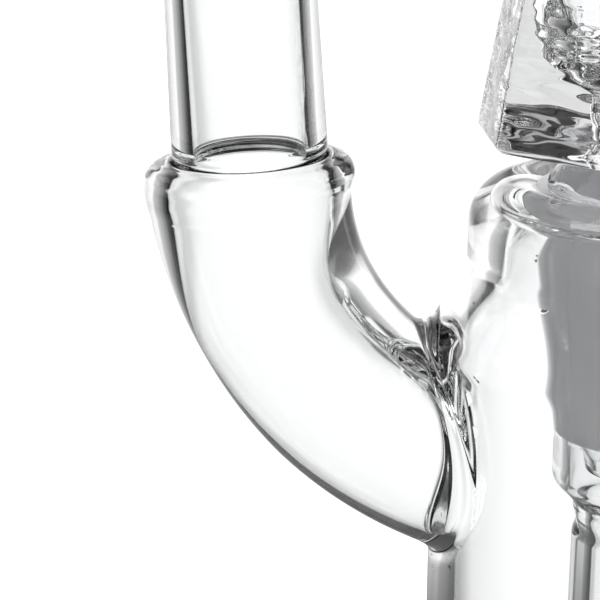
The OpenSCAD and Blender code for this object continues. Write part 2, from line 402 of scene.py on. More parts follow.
def make_shoulder():
    skin = Skin()
    heights = np.linspace(WELD_PORT_Z, SHOULDER_Z1, 14)
    skin.turn(wall_outline(heights, CHAMBER_R, NECK_R))
    skin.turn(line((NECK_R, SHOULDER_Z1), (NECK_BORE, SHOULDER_Z1)), slot=CONTACT)
    skin.turn(wall_outline(heights[::-1], CHAMBER_BORE, NECK_BORE))
    outer, _ = shoulder_radius(WELD_PORT_Z, CHAMBER_R, NECK_R)
    inner, _ = shoulder_radius(WELD_PORT_Z, CHAMBER_BORE, NECK_BORE)
    skin.turn(line((inner, WELD_PORT_Z), (outer, WELD_PORT_Z)), slot=CONTACT)
    build("shoulder_glass", skin, VESSEL_SLOTS, "vessel", "clear_glass", "shoulder")


def make_rim_bead():
    """The neck rolls over in a fat lip, and runs down into the mouth of the ground socket."""
    skin = Skin()
    dome = RIM_TOP - DOME_Z
    gap = (NECK_BORE - SOCKET_TOP_R) / 2
    lip_z = RIM_TOP - 3.6
    skin.turn(line((NECK_R, SHOULDER_Z1), (NECK_R, RIM_TOP - dome), 3))
    skin.turn(arc((CREST_R, RIM_TOP - dome), (NECK_R - CREST_R, dome), 0, 90, 20))
    roll = arc((CREST_R, lip_z), (4.2, 3.6), 90, 128, 16)
    start = roll[-1]
    skin.turn(roll)
    skin.turn(flow([(start[0], start[1]), (start[0] - 0.75, start[1] - 0.75),
                    (9.2, SEAL_Z + 1.7), (8.5, SEAL_Z + 0.8), (JOINT_MOUTH_R, SEAL_Z)], 5),
              slot=GROUND)
    skin.turn(line((JOINT_MOUTH_R, SEAL_Z), (SOCKET_TOP_R, SEAL_Z)), slot=CONTACT)
    skin.turn(arc((SOCKET_TOP_R + gap, SEAL_Z), (gap, 0.6), 180, 0, 20))
    skin.turn(line((NECK_BORE, SEAL_Z), (NECK_BORE, SHOULDER_Z1), 3))
    skin.turn(line((NECK_BORE, SHOULDER_Z1), (NECK_R, SHOULDER_Z1)), slot=CONTACT)
    build("rim_bead_glass", skin, VESSEL_SLOTS, "vessel", "clear_glass", "rim_bead")


def make_ground_socket():
    skin = Skin()
    skin.turn(line((JOINT_END_R, SOCKET_BOTTOM), (REDUCER_R, SOCKET_BOTTOM)), slot=CONTACT)
    skin.turn(line((REDUCER_R, SOCKET_BOTTOM), (SOCKET_TOP_R, SEAL_Z), 6))
    skin.turn(line((SOCKET_TOP_R, SEAL_Z), (JOINT_MOUTH_R, SEAL_Z)), slot=CONTACT)
    skin.turn(line((JOINT_MOUTH_R, SEAL_Z), (JOINT_R, JOINT_Z)), slot=GROUND)
    skin.turn(line((JOINT_R, JOINT_Z), (JOINT_END_R, SOCKET_BOTTOM), 6), slot=GROUND)
    build("ground_socket_glass", skin, VESSEL_SLOTS, "vessel", "frosted_glass", "ground_socket")


def make_socket_reducer():
    skin = Skin()
    bend = SOCKET_BOTTOM - 4.5
    inner_bend = SOCKET_BOTTOM - 5.0
    skin.turn(line((STEM_BORE, REDUCER_FOOT), (STEM_R, REDUCER_FOOT)), slot=CONTACT)
    skin.turn(swell((STEM_R, REDUCER_FOOT), (REDUCER_R, bend), 16))
    skin.turn(line((REDUCER_R, bend), (REDUCER_R, SOCKET_BOTTOM), 2))
    skin.turn(line((REDUCER_R, SOCKET_BOTTOM), (JOINT_END_R, SOCKET_BOTTOM)), slot=CONTACT)
    bend_bore = JOINT_END_R - 0.1
    skin.turn(line((JOINT_END_R, SOCKET_BOTTOM), (bend_bore, inner_bend), 2))
    skin.turn(swell((bend_bore, inner_bend), (STEM_BORE, REDUCER_FOOT), 14))
    build("socket_reducer_glass", skin, VESSEL_SLOTS, "vessel", "clear_glass", "socket_reducer")


def make_stem_weld():
    skin = Skin()
    waist = (STEM_R - STEM_WAIST, (STEM_TOP + REDUCER_FOOT) / 2)
    skin.turn(line((STEM_BORE, STEM_TOP), (STEM_R, STEM_TOP)), slot=CONTACT)
    skin.turn(swell((STEM_R, STEM_TOP), waist, 8))
    skin.turn(swell(waist, (STEM_R, REDUCER_FOOT), 8))
    skin.turn(line((STEM_R, REDUCER_FOOT), (STEM_BORE, REDUCER_FOOT)), slot=CONTACT)
    skin.turn(line((STEM_BORE, REDUCER_FOOT), (STEM_BORE, STEM_TOP), 4))
    build("stem_weld_glass", skin, VESSEL_SLOTS, "vessel", "clear_glass", "stem_weld")


def make_downstem():
    skin = Skin()
    skin.turn(line((STEM_BORE, TIP_TOP), (STEM_R, TIP_TOP)), slot=CONTACT)
    skin.turn(line((STEM_R, TIP_TOP), (STEM_R, STEM_TOP), 4))
    skin.turn(line((STEM_R, STEM_TOP), (STEM_BORE, STEM_TOP)), slot=CONTACT)
    skin.turn(line((STEM_BORE, STEM_TOP), (STEM_BORE, TIP_TOP), 4))
    build("downstem_glass", skin, VESSEL_SLOTS, "vessel", "clear_glass", "downstem")


BOX_FACES = ((0, 3, 2, 1), (4, 5, 6, 7), (0, 1, 5, 4), (1, 2, 6, 5), (2, 3, 7, 6), (3, 0, 4, 7))


def cut_slits(piece, count, width, low, high, inner):
    """Cuts upright slits through a round wall, and leaves no modifier behind."""
    cutter_mesh = bpy.data.meshes.new("slit_cutter")
    points, faces = [], []
    for i in range(count):
        turn = (i + 0.5) * 2 * math.pi / count
        out = Vector((math.cos(turn), math.sin(turn), 0))
        side = Vector((-math.sin(turn), math.cos(turn), 0)) * (width / 2)
        start = len(points)
        for radius in (inner, inner + 6):
            for sign, height in ((-1, low), (1, low), (1, high), (-1, high)):
                points.append((out * radius + side * sign + Vector((0, 0, height))) * METRES)
        for face in BOX_FACES:
            faces.append([start + corner for corner in face])
    cutter_mesh.from_pydata(points, [], faces)
    cutter = bpy.data.objects.new("slit_cutter", cutter_mesh)
    bpy.context.scene.collection.objects.link(cutter)
    cut = piece.modifiers.new("slits", "BOOLEAN")
    cut.operation = "DIFFERENCE"
    cut.solver = "EXACT"
    cut.object = cutter
    graph = bpy.context.evaluated_depsgraph_get()
    finished = bpy.data.meshes.new_from_object(piece.evaluated_get(graph))
    piece.modifiers.clear()
    piece.data = finished
    bpy.data.objects.remove(cutter)


def make_diffuser_tip():
    skin = Skin()
    edge, wall, inner_edge = 2.5, 1.8, 1
    inner = TIP_R - wall
    floor_z = TIP_BOTTOM + wall
    outer_bend, inner_bend = TIP_TOP - 3, TIP_TOP - 3.4
    skin.turn(line((0, TIP_BOTTOM), (TIP_R - edge, TIP_BOTTOM), 1))
    skin.turn(arc((TIP_R - edge, TIP_BOTTOM + edge), (edge, edge), -90, 0, 12))
    skin.turn(line((TIP_R, TIP_BOTTOM + edge), (TIP_R, outer_bend), 2))
    skin.turn(swell((TIP_R, outer_bend), (STEM_R, TIP_TOP), 12))
    skin.turn(line((STEM_R, TIP_TOP), (STEM_BORE, TIP_TOP)), slot=CONTACT)
    skin.turn(swell((STEM_BORE, TIP_TOP), (inner, inner_bend), 12))
    skin.turn(line((inner, inner_bend), (inner, floor_z + inner_edge), 2))
    skin.turn(arc((inner - inner_edge, floor_z + inner_edge), (inner_edge, inner_edge), 0, -90, 6))
    skin.turn(line((inner - inner_edge, floor_z), (0, floor_z), 1))
    piece = build("diffuser_tip_glass", skin, VESSEL_SLOTS, "vessel", "clear_glass", "diffuser_tip")
    cut_slits(piece, count=6, width=1.2, low=TIP_BOTTOM + 2.8, high=TIP_BOTTOM + 6.4,
              inner=inner - 1)


# --- the side arm, its weld and the pierced chamber ---------------------------
def arm_radius(along):
    """Outside radius of the swept elbow: fullest under the collar, slimmest halfway down."""
    depth = np.clip(-along / 26.0, 0, 1)
    return 10.75 - 0.75 * np.sin(np.pi * np.clip(depth * 0.72, 0, 0.5)) + 0.25 * depth**3


def arm_bore(along):
    """Bore radius of the swept elbow."""
    depth = np.clip(-along / 22.0, 0, 1)
    return 8.3 - 0.6 * (1 - np.cos(np.pi * depth)) / 2


def bore_shift(along):
    """Bending thinned the outside wall: how far the bore lies towards the outside of the bend."""
    rise = np.clip((-along - 3.2) / 14, 0, 1)
    fade = np.clip((-along - 20) / 20, 0, 1)
    return 1.6 * rise**2 * (3 - 2 * rise) * (1 - 0.35 * fade)


def outer_skin(along, angle):
    """Radius of the arm's outer face, the same all round."""
    return arm_radius(along) + 0 * angle


def bore_skin(along, angle):
    """Radius of the arm's inner face about the arm's centreline."""
    return arm_bore(along) + bore_shift(along) * np.cos(angle)


def arm_point(along, angle, radius):
    """Point on the arm's skin. Angle 0 is the outside of the bend."""
    centre, axial, _ = side_arm(along)
    side = np.array([0.0, 1.0, 0.0])
    across = -np.cross(side, axial)
    out = across * np.cos(angle)[..., None] + side * np.sin(angle)[..., None]
    return centre + out * radius[..., None]


CLEAR_OF_WALL, INSIDE_CHAMBER = -12.0, -44.0  # distances along the arm, outside and inside


def meets_wall(angle, radius_of, low, high):
    """How far along the arm each line at an angle reaches the chamber wall, by halving."""
    near, far = np.full_like(angle, CLEAR_OF_WALL), np.full_like(angle, INSIDE_CHAMBER)
    for _ in range(40):
        middle = (near + far) / 2
        point = arm_point(middle, angle, radius_of(middle, angle))
        wall, _ = shoulder_radius(point[..., 2], low, high)
        outside = np.hypot(point[..., 0], point[..., 1]) > wall
        near = np.where(outside, middle, near)
        far = np.where(outside, far, middle)
    return (near + far) / 2


def wall_point(turn, height, low, high):
    """Point and outward normal of the chamber wall. Turn 0 faces the side arm."""
    radius, slope = shoulder_radius(height, low, high)
    point = np.stack([-radius * np.cos(turn), radius * np.sin(turn), height], -1)
    normal = np.stack([-np.cos(turn), np.sin(turn), -slope], -1)
    return point, normal / np.linalg.norm(normal, axis=-1)[..., None]


def port_edge(joint, spread, low, high):
    """The closed line where the weld runs out on the wall, spread away from the arm."""
    turn = np.arctan2(joint[:, 1], -joint[:, 0])
    flat = np.stack([turn * low, joint[:, 2]], 1)
    way = np.roll(flat, -1, 0) - np.roll(flat, 1, 0)
    way /= np.linalg.norm(way, axis=1)[:, None]
    away = np.stack([way[:, 1], -way[:, 0]], 1)
    centre = flat.mean(0)
    away *= np.sign(np.einsum("ij,ij->i", away, flat - centre))[:, None]
    moved = flat + away * spread[:, None]
    point, normal = wall_point(moved[:, 0] / low, moved[:, 1], low, high)
    return moved, point, normal


def fillet(start, start_way, end, end_way, reach_a, reach_b, count=14):
    """Rows of points that leave start along start_way and reach end along end_way."""
    t = np.linspace(0, 1, count + 1)[:, None, None]
    a = start + start_way * reach_a[:, None]
    b = end - end_way * reach_b[:, None]
    return (1 - t)**3 * start + 3 * (1 - t)**2 * t * a + 3 * (1 - t) * t**2 * b + t**3 * end


def grid_normals(points, like):
    """Normals of a closed band of rows. like points out of its first row."""
    around = np.roll(points, -1, 1) - np.roll(points, 1, 1)
    down = np.gradient(points, axis=0)
    normal = np.cross(around, down)
    normal /= np.linalg.norm(normal, axis=2)[..., None]
    like = np.broadcast_to(like, points.shape)
    return normal * np.sign(np.sum(normal[0] * like[0]))


BEAD_HEIGHT = 0.3
BEAD_PLACES = (0.3, 0.6)  # shares of the way from the arm to the wall
BEAD_WIDTH = 0.1
BEAD_SPREAD = 0.6  # radians to each side of the crotch


def melt(rows, angle):
    """Two small beads of melted glass run round the weld's crotch."""
    t = np.linspace(0, 1, len(rows))[:, None]
    near = np.exp(-((angle - np.pi) / BEAD_SPREAD)**4)[None]
    swirl = 1 + 0.2 * np.sin(angle * 17 + 9 * t)
    height = sum(np.exp(-((t - place) / BEAD_WIDTH)**2) for place in BEAD_PLACES)
    away = grid_normals(rows, rows - rows.mean((0, 1)))
    return rows + away * (BEAD_HEIGHT * height * near * swirl)[..., None]


def weld_side(radius_of, low, high, back, spread, outward):
    """One face of the weld: rows from arm to wall, their normals, and where they start and end."""
    angle = np.linspace(0, 2 * np.pi, SEGMENTS, endpoint=False)
    reach = meets_wall(angle, radius_of, low, high)
    joint = arm_point(reach, angle, radius_of(reach, angle))
    start_at = reach + back(angle)
    start = arm_point(start_at, angle, radius_of(start_at, angle))
    ahead = arm_point(start_at - 0.01, angle, radius_of(start_at - 0.01, angle))
    start_way = (ahead - start) / 0.01
    flat, end, end_normal = port_edge(joint, spread(angle), low, high)
    end_way = end - joint
    end_way -= np.einsum("ij,ij->i", end_way, end_normal)[:, None] * end_normal
    end_way /= np.linalg.norm(end_way, axis=1)[:, None]
    rows = fillet(start, start_way, end, end_way,
                  np.abs(start_at - reach) * 0.8, spread(angle) * 1.05, 24)
    if outward == 1:
        rows = melt(rows, angle)
    centre, _, _ = side_arm(start_at)
    normals = grid_normals(rows, (start - centre) * outward)
    normals[-1] = end_normal * outward
    across = start - centre
    first = across - np.einsum("ij,ij->i", across, start_way)[:, None] * start_way
    normals[0] = first / np.linalg.norm(first, axis=1)[:, None] * outward
    return rows, normals, start_at, flat


def weld_back(angle):
    """How far the weld's fillet climbs the elbow: most in the crotch, at angle pi."""
    crotch = (1 - np.cos(angle)) / 2
    return 2.6 + 2.6 * crotch**4


def weld_spread(angle):
    """How far the fillet spreads over the chamber wall."""
    crotch = (1 - np.cos(angle)) / 2
    return 2.3 + 2.7 * crotch**4


def make_side_arm():
    outer, outer_n, outer_at, outer_edge = weld_side(
        outer_skin, CHAMBER_R, NECK_R, weld_back, weld_spread, 1)
    inner, inner_n, inner_at, inner_edge = weld_side(
        bore_skin, CHAMBER_BORE, NECK_BORE,
        lambda angle: 1.6 + 0 * angle, lambda angle: 1.3 + 0 * angle, -1)
    axis_way = side_arm(outer_at)[1]

    weld = Skin()
    weld.grid(outer, outer_n)
    weld.grid(inner, inner_n)
    weld.joint(outer[0], inner[0], axis_way)
    away = outer[-1] - outer[-1].mean(0)
    weld.joint(outer[-1], inner[-1], away)
    build("elbow_weld_glass", weld, VESSEL_SLOTS, "vessel", "clear_glass", "elbow_weld")

    elbow = Skin()
    angle = np.linspace(0, 2 * np.pi, SEGMENTS, endpoint=False)
    for radius_of, ends, outward in ((outer_skin, outer_at, 1), (bore_skin, inner_at, -1)):
        t = np.linspace(0, 1, 49)[:, None]
        along = ELBOW_TOP + (ends - ELBOW_TOP)[None] * t
        around = np.broadcast_to(angle, along.shape)
        rows = arm_point(along, around, radius_of(along, around))
        centre, _, _ = side_arm(along)
        elbow.grid(rows, grid_normals(rows, (rows - centre) * outward))
        if outward == 1:
            outer_rows = rows
    elbow.joint(outer_rows[0], rows[0], side_arm(np.array([ELBOW_TOP]))[1][0])
    elbow.joint(outer_rows[-1], rows[-1], -axis_way)
    build("side_elbow_glass", elbow, VESSEL_SLOTS, "vessel", "clear_glass", "side_elbow")

    chamber = Skin()
    add_pierced_wall(chamber, outer_edge, CHAMBER_R, NECK_R, 1)
    add_pierced_wall(chamber, inner_edge, CHAMBER_BORE, NECK_BORE, -1)
    chamber.joint(outer[-1], inner[-1], -away)
    for height, toward in ((FOOT_TOP, DOWN), (WELD_PORT_Z, UP)):
        out_r, _ = shoulder_radius(height, CHAMBER_R, NECK_R)
        in_r, _ = shoulder_radius(height, CHAMBER_BORE, NECK_BORE)
        chamber.joint(ring_at(float(out_r), height), ring_at(float(in_r), height), toward)
    build("chamber_glass", chamber, VESSEL_SLOTS, "vessel", "clear_glass", "chamber")


def add_pierced_wall(skin, edge, low, high, outward):
    """The chamber wall, unrolled, meshed around the port and rolled up again."""
    turns = np.linspace(-math.pi, math.pi, SEGMENTS + 1)
    port_low = edge[:, 1].min() - 1
    heights = np.concatenate([np.linspace(FOOT_TOP, port_low, 8)[:-1],
                              np.arange(port_low, SHOULDER_Z0 - 2.5, 0.9),
                              np.linspace(SHOULDER_Z0 - 2.3, WELD_PORT_Z, 16)])
    centre = edge.mean(0)
    edge_turn = np.arctan2(edge[:, 1] - centre[1], edge[:, 0] - centre[0])
    edge_reach = np.hypot(*(edge - centre).T)
    order = np.argsort(edge_turn)
    points = [tuple(p) for p in edge]
    edges = [(i, (i + 1) % len(edge)) for i in range(len(edge))]
    last_row = len(heights) - 1
    for row, height in enumerate(heights):
        for turn in turns:
            spot = np.array([turn * low, height]) - centre
            bearing = math.atan2(spot[1], spot[0])
            reach = np.interp(bearing, edge_turn[order], edge_reach[order], period=2 * math.pi)
            on_border = row in (0, last_row) or abs(turn) == math.pi
            if on_border or math.hypot(*spot) > reach + 0.45:
                points.append((turn * low, height))
    made, _, faces, _, _, _ = geometry.delaunay_2d_cdt(
        [Vector(p) for p in points], edges, [], 0, 1e-6)
    flat = np.array([tuple(p) for p in made])
    faces = np.array([f for f in faces if len(f) == 3])
    spot = flat[faces].mean(1) - centre
    reach = np.interp(np.arctan2(spot[:, 1], spot[:, 0]), edge_turn[order], edge_reach[order],
                      period=2 * math.pi)
    faces = faces[np.hypot(*spot.T) > reach * 0.998]
    point, normal = wall_point(flat[:, 0] / low, flat[:, 1], low, high)
    skin.add(point, normal * outward, faces, GLASS)


def make_arm_collar():
    """The wide elbow closes on the tube: a rounded shoulder outside, a sharp ledge inside."""
    skin = Skin()
    elbow_r = float(arm_radius(np.array(ELBOW_TOP)))
    elbow_bore = float(arm_bore(np.array(ELBOW_TOP)))
    skin.turn(line((elbow_bore, ELBOW_TOP), (elbow_r, ELBOW_TOP)), side_arm, CONTACT)
    skin.turn(flow([(elbow_r, ELBOW_TOP), (10.85, -1.9), (10.95, -0.9), (10.75, 0.15),
                    (10.1, 0.95), (9.2, 1.35), (8.5, 1.55), (8.1, 2.1),
                    (TUBE_FOOT_R, TUBE_FOOT)], 6), side_arm)
    skin.turn(line((TUBE_FOOT_R, TUBE_FOOT), (TUBE_FOOT_BORE, TUBE_FOOT)), side_arm, CONTACT)
    skin.turn(flow([(TUBE_FOOT_BORE, TUBE_FOOT), (TUBE_FOOT_BORE, 1.5), (5.9, 0.95), (6.2, 0.6),
                    (7.0, 0.35), (7.8, -0.05), (8.3, -0.9), (8.4, -2.0),
                    (elbow_bore, ELBOW_TOP)], 6), side_arm)
    build("arm_collar_glass", skin, VESSEL_SLOTS, "vessel", "clear_glass", "arm_collar")


def make_outlet_tube():
    """Draws down from the collar, then runs straight."""
    skin = Skin()
    low, high = TUBE_FOOT, TUBE_TOP
    skin.turn(line((TUBE_FOOT_BORE, low), (TUBE_FOOT_R, low)), side_arm, CONTACT)
    skin.turn(flow([(TUBE_FOOT_R, low), (7.85, low + 8), (7.65, low + 17), (TUBE_R, low + 30),
                    (TUBE_R, high)], 8), side_arm)
    skin.turn(line((TUBE_R, high), (TUBE_BORE, high)), side_arm, CONTACT)
    skin.turn(flow([(TUBE_BORE, high), (TUBE_BORE, low + 30), (TUBE_FOOT_BORE, low)], 8), side_arm)
    build("outlet_tube_glass", skin, VESSEL_SLOTS, "vessel", "clear_glass", "outlet_tube")


def make_mouth_ring():
    """The tube's end, flared and melted round in the flame."""
    skin = Skin()
    low = TUBE_TOP
    skin.turn(line((TUBE_BORE, low), (TUBE_R, low)), side_arm, CONTACT)
    skin.turn(flow([(TUBE_R, low), (7.75, low + 0.8), (8.4, low + 1.8), (9.0, low + 2.6)], 5),
              side_arm)
    skin.turn(arc((7.7, low + 3.35), (1.5, 1.5), -30, 210, 24), side_arm)
    skin.turn(flow([(6.4, low + 2.6), (5.95, low + 1.6), (TUBE_BORE, low + 0.7),
                    (TUBE_BORE, low)], 5), side_arm)
    build("mouth_ring_glass", skin, VESSEL_SLOTS, "vessel", "clear_glass", "mouth_ring")


# --- the lift-off cup ---------------------------------------------------------
CUP_TURN = 2.5  # turn of the flats about the axis, in degrees
CUP_BASE_R, CUP_CROWN_R = 17.9, 13.2  # across the corners
APOTHEM = math.cos(math.radians(22.5))  # of an octagon, as a share of its corner radius


def octagon(angle, apothem, crispness=90.0):
    """Radius of an eight-sided outline with softened corners."""
    total = 0.0
    for side in range(8):
        facing = np.cos(angle - math.radians(CUP_TURN + 45 * side))
        total = total + np.maximum(facing, 1e-3)**crispness
    return apothem / total**(1 / crispness)


def cup_rows():
    """Rows of apothem, height and roundness (0 is eight-sided, 1 is round), up the outside."""
    lean = (CUP_BASE_R - CUP_CROWN_R) * APOTHEM / (CUP_TOP - CUP_BOTTOM)
    base = CUP_BASE_R * APOTHEM
    crown = CUP_CROWN_R * APOTHEM
    heel, lip = 1.0, 1.3
    rows = [(CUP_SEAT_R, CUP_SEAT_Z, 1.0), (8.5, CUP_BOTTOM + 0.3, 0.9),
            (12.5, CUP_BOTTOM + 0.15, 0.35)]
    for t in np.radians(np.linspace(-90, -8, 12)):
        rows.append((base - lean * heel - heel + heel * math.cos(t),
                     CUP_BOTTOM + heel + heel * math.sin(t), 0.0))
    start, stop = rows[-1], (crown + lean * lip, CUP_TOP - lip)
    for t in np.linspace(0, 1, 14)[1:]:
        rows.append((start[0] + (stop[0] - start[0]) * t,
                     start[1] + (stop[1] - start[1]) * t, 0.0))
    for t in np.radians(np.linspace(8, 90, 9)):
        rows.append((stop[0] - lip + lip * math.cos(t), CUP_TOP - lip + lip * math.sin(t),
                     max(0.0, (t - 0.8) / 0.8) * 0.5))
    return rows


def round_rows(outline, angle):
    """Points and normals of an outline turned upright at the cup's own uneven angles."""
    radius, along, way_r, way_s = (outline[:, i, None] for i in range(4))
    flat = np.zeros_like(angle)
    points = np.stack([radius * np.cos(angle), radius * np.sin(angle), along + flat], -1)
    normals = np.stack([way_s * np.cos(angle), way_s * np.sin(angle), -way_r + flat], -1)
    return points, normals


def make_cup():
    """A thick eight-sided outside around a round, deep bowl."""
    skin = Skin()
    sector = np.sin(np.linspace(-1, 1, 25)[:-1] * math.pi / 2) * 22.5  # closest at the corners
    angle = np.radians(np.concatenate([sector + CUP_TURN + 45 * k for k in range(8)]))
    rows = []
    for apothem, height, round_share in cup_rows():
        radius = octagon(angle, apothem) * (1 - round_share) + apothem * round_share
        rows.append(np.stack([radius * np.cos(angle), radius * np.sin(angle),
                              np.full_like(angle, height)], -1))
    rows = np.array(rows)
    middle = np.array([0, 0, (CUP_TOP + CUP_BOTTOM) / 2])
    skin.grid(rows, grid_normals(rows, rows - middle))

    lip_r, lip_round = 10.2, 0.7
    inner_lip = arc((lip_r, CUP_TOP - lip_round), (lip_round, lip_round), 90, 175, 8)
    lip_points, lip_normals = round_rows(inner_lip, angle)
    level = np.tile(np.array([0.0, 0.0, 1.0]), (2, len(angle), 1))
    skin.grid(np.stack([rows[-1], lip_points[0]]), level)
    skin.grid(lip_points, lip_normals)

    floor_z = CUP_BOTTOM + 4.6
    throat_z = floor_z - 0.9
    bowl = flow([(lip_r - lip_round, CUP_TOP - 0.76), (9.45, CUP_TOP - 5), (9.5, floor_z + 10),
                 (9.2, floor_z + 6.5), (8.0, floor_z + 3.6), (6.2, floor_z + 1.7),
                 (4.2, floor_z + 0.6), (THROAT_R + 0.4, floor_z - 0.2),
                 (THROAT_R, throat_z)], 6)
    skin.grid(*round_rows(bowl, angle))
    skin.grid(*round_rows(line((THROAT_R, throat_z), (THROAT_R, CUP_SEAT_Z), 2), angle))
    seat, _ = round_rows(line((THROAT_R, CUP_SEAT_Z), (CUP_SEAT_R, CUP_SEAT_Z)), angle)
    skin.joint(seat[0], rows[0], DOWN)
    build("cup_glass", skin, CUP_SLOTS, "cup_assembly", "cup_glass", "cup")


def make_cup_neck():
    """A rounded knop between the cup and its ground cone."""
    skin = Skin()
    knop = (8.7, JOINT_Z + 2.0)
    skin.turn(line((THROAT_R, JOINT_Z), (CONE_R, JOINT_Z)), slot=CONTACT)
    skin.turn(flow([(CONE_R, JOINT_Z), (8.0, JOINT_Z + 1.1), knop], 4))
    skin.turn(flow([knop, (9.3, JOINT_Z + 2.8), (9.65, JOINT_Z + 3.7), (9.3, JOINT_Z + 4.9),
                    (8.3, JOINT_Z + 5.9), (7.1, JOINT_Z + 6.8), (6.4, JOINT_Z + 7.7),
                    (CUP_SEAT_R, CUP_SEAT_Z)], 6))
    skin.turn(line((CUP_SEAT_R, CUP_SEAT_Z), (THROAT_R, CUP_SEAT_Z)), slot=CONTACT)
    skin.turn(line((THROAT_R, CUP_SEAT_Z), (THROAT_R, JOINT_Z), 2))
    build("cup_neck_glass", skin, CUP_SLOTS, "cup_assembly", "clear_glass", "cup_neck")


def make_ground_cone():
    skin = Skin()
    skin.turn(line((CONE_BORE, CONE_BOTTOM), (CONE_END_R, CONE_BOTTOM)), slot=CONTACT)
    skin.turn(line((CONE_END_R, CONE_BOTTOM), (CONE_R, JOINT_Z), 6), slot=GROUND)
    skin.turn(line((CONE_R, JOINT_Z), (THROAT_R, JOINT_Z)), slot=CONTACT)
    skin.turn(swell((THROAT_R, JOINT_Z), (CONE_BORE, JOINT_Z - 4), 12))
    skin.turn(line((CONE_BORE, JOINT_Z - 4), (CONE_BORE, CONE_BOTTOM), 3))
    build("ground_cone_glass", skin, CUP_SLOTS, "cup_assembly", "frosted_glass", "ground_cone")


def make_drip_tip():
    skin = Skin()
    edge_z = DRIP_BOTTOM + 0.5
    skin.turn(arc((3.95, edge_z), (0.5, 0.5), 180, 360, 12))
    skin.turn(flow([(4.45, edge_z), (5.0, DRIP_BOTTOM + 3.0), (5.5, CONE_BOTTOM - 0.9),
                    (CONE_END_R, CONE_BOTTOM)], 5))
    skin.turn(line((CONE_END_R, CONE_BOTTOM), (CONE_BORE, CONE_BOTTOM)), slot=CONTACT)
    skin.turn(flow([(CONE_BORE, CONE_BOTTOM), (4.2, CONE_BOTTOM - 1.5), (3.45, edge_z)], 5))
    build("drip_tip_glass", skin, CUP_SLOTS, "cup_assembly", "clear_glass", "drip_tip")


make_base_foot()
make_shoulder()
make_rim_bead()
make_ground_socket()
make_socket_reducer()
make_stem_weld()
make_downstem()
make_diffuser_tip()
make_side_arm()
make_arm_collar()
make_outlet_tube()
make_mouth_ring()
make_cup()
make_cup_neck()
make_ground_cone()
make_drip_tip()


# --- studio -------------------------------------------------------------------
# Stops are a bearing in degrees and a grey. Bearing 0 is +Y and 90 is -X. What shows straight
# through the glass stays pale all round, so that it looks clear from every side. Only mirrored
# light meets the dark that draws the edges.
WHITE, BLACK = 1.16, 0.015
THROUGH_STOPS = [(-180, 1.0), (-150, WHITE), (-76, WHITE), (-66, 0.85), (-54, 0.8), (-33, 0.8),
                 (-13, WHITE), (16, WHITE), (25, 0.85), (30, 0.78), (38, 1.1), (54, 1.1),
                 (60, 0.85), (66, 0.85), (76, WHITE), (150, WHITE), (180, 1.0)]
EDGE_STOPS = [(-180, 0.3), (-150, 0.8), (-100, 0.9), (-82, 0.5), (-66, BLACK), (-52, BLACK),
              (-42, 0.2), (-33, 0.4), (-25, 0.6), (-17, WHITE), (25, WHITE), (32, 0.6),
              (40, 0.45), (48, 0.25), (56, 0.08), (62, BLACK), (120, BLACK), (150, 0.15),
              (180, 0.25)]
UNDER_STOPS = [(-180, 0.3), (-150, 0.8), (-100, 0.8), (-70, 0.2), (-30, 0.15), (30, 0.1),
               (130, 0.08), (180, 0.3)]
# Strips of light above the horizon give the heavy cup its black and white.
HIGH_STOPS = [(-180, 0.3), (-150, 0.9), (-120, 0.9), (-110, 0.05), (-95, 0.05), (-88, 1.0),
              (-70, 1.0), (-64, 0.03), (-57, 0.03), (-51, 0.9), (-39, 1.0), (-34, 0.05),
              (-28, 0.05), (-22, 1.1), (-9, 1.1), (-5, 0.4), (2, 0.9), (18, 1.0), (27, 0.5),
              (33, 0.08), (40, 0.08), (46, 1.0), (60, 1.0), (66, 0.05), (80, 0.05), (86, 0.9),
              (100, 0.9), (110, 0.05), (150, 0.05), (180, 0.3)]
# Greys by height, from the horizon at 0 to straight up at 1.
SKY_STOPS = [(0.0, 1.0), (0.27, 1.0), (0.34, 0.1), (0.42, 0.9), (0.5, 0.9), (0.58, 0.05),
             (0.78, 0.05), (0.9, 0.9), (1.0, 0.9)]
STRIPS_START, STRIPS_FULL = 0.08, 0.14  # heights over which the strips fade in
# Distances on the floor, in metres.
FOOT_REACH, ROOM_REACH = 0.035, 0.1  # straight under the foot the floor stays plain
DARK_REACH, LIT_REACH = 0.07, 0.2  # mirrored rays find painted shade on the floor right under the glass
PAPER = 0.8
FLOOR_SIZE = 6.0
CAMERA_PITCH = 17  # degrees down
CAMERA_TARGET = (-35.3, 0, 88)
CAMERA_DISTANCE = 189.5


def grey_ramp(nodes, links, value, stops):
    """Eases between greys at places from 0 to 1."""
    ramp = nodes.new("ShaderNodeValToRGB")
    ramp.color_ramp.interpolation = "EASE"
    elements = ramp.color_ramp.elements
    while len(elements) > 1:
        elements.remove(elements[-1])
    for i, (place, grey) in enumerate(stops):
        stop = elements[0] if i == 0 else elements.new(place)
        stop.position = place
        stop.color = (grey, grey, grey, 1)
    links.new(value, ramp.inputs["Fac"])
    return ramp.outputs["Color"]


def bearing_ramp(nodes, links, vector, stops):
    """Grey by compass bearing."""
    split = nodes.new("ShaderNodeSeparateXYZ")
    bearing = nodes.new("ShaderNodeMath")
    bearing.operation = "ARCTAN2"
    links.new(vector, split.inputs[0])
    negative = nodes.new("ShaderNodeMath")
    negative.operation = "MULTIPLY"
    negative.inputs[1].default_value = -1.0
    links.new(split.outputs["X"], negative.inputs[0])
    links.new(negative.outputs[0], bearing.inputs[0])
    links.new(split.outputs["Y"], bearing.inputs[1])
    share = nodes.new("ShaderNodeMapRange")
    share.inputs["From Min"].default_value = -math.pi
    share.inputs["From Max"].default_value = math.pi
    links.new(bearing.outputs[0], share.inputs["Value"])
    places = [((degrees + 180) / 360, grey) for degrees, grey in stops]
    return grey_ramp(nodes, links, share.outputs["Result"], places)


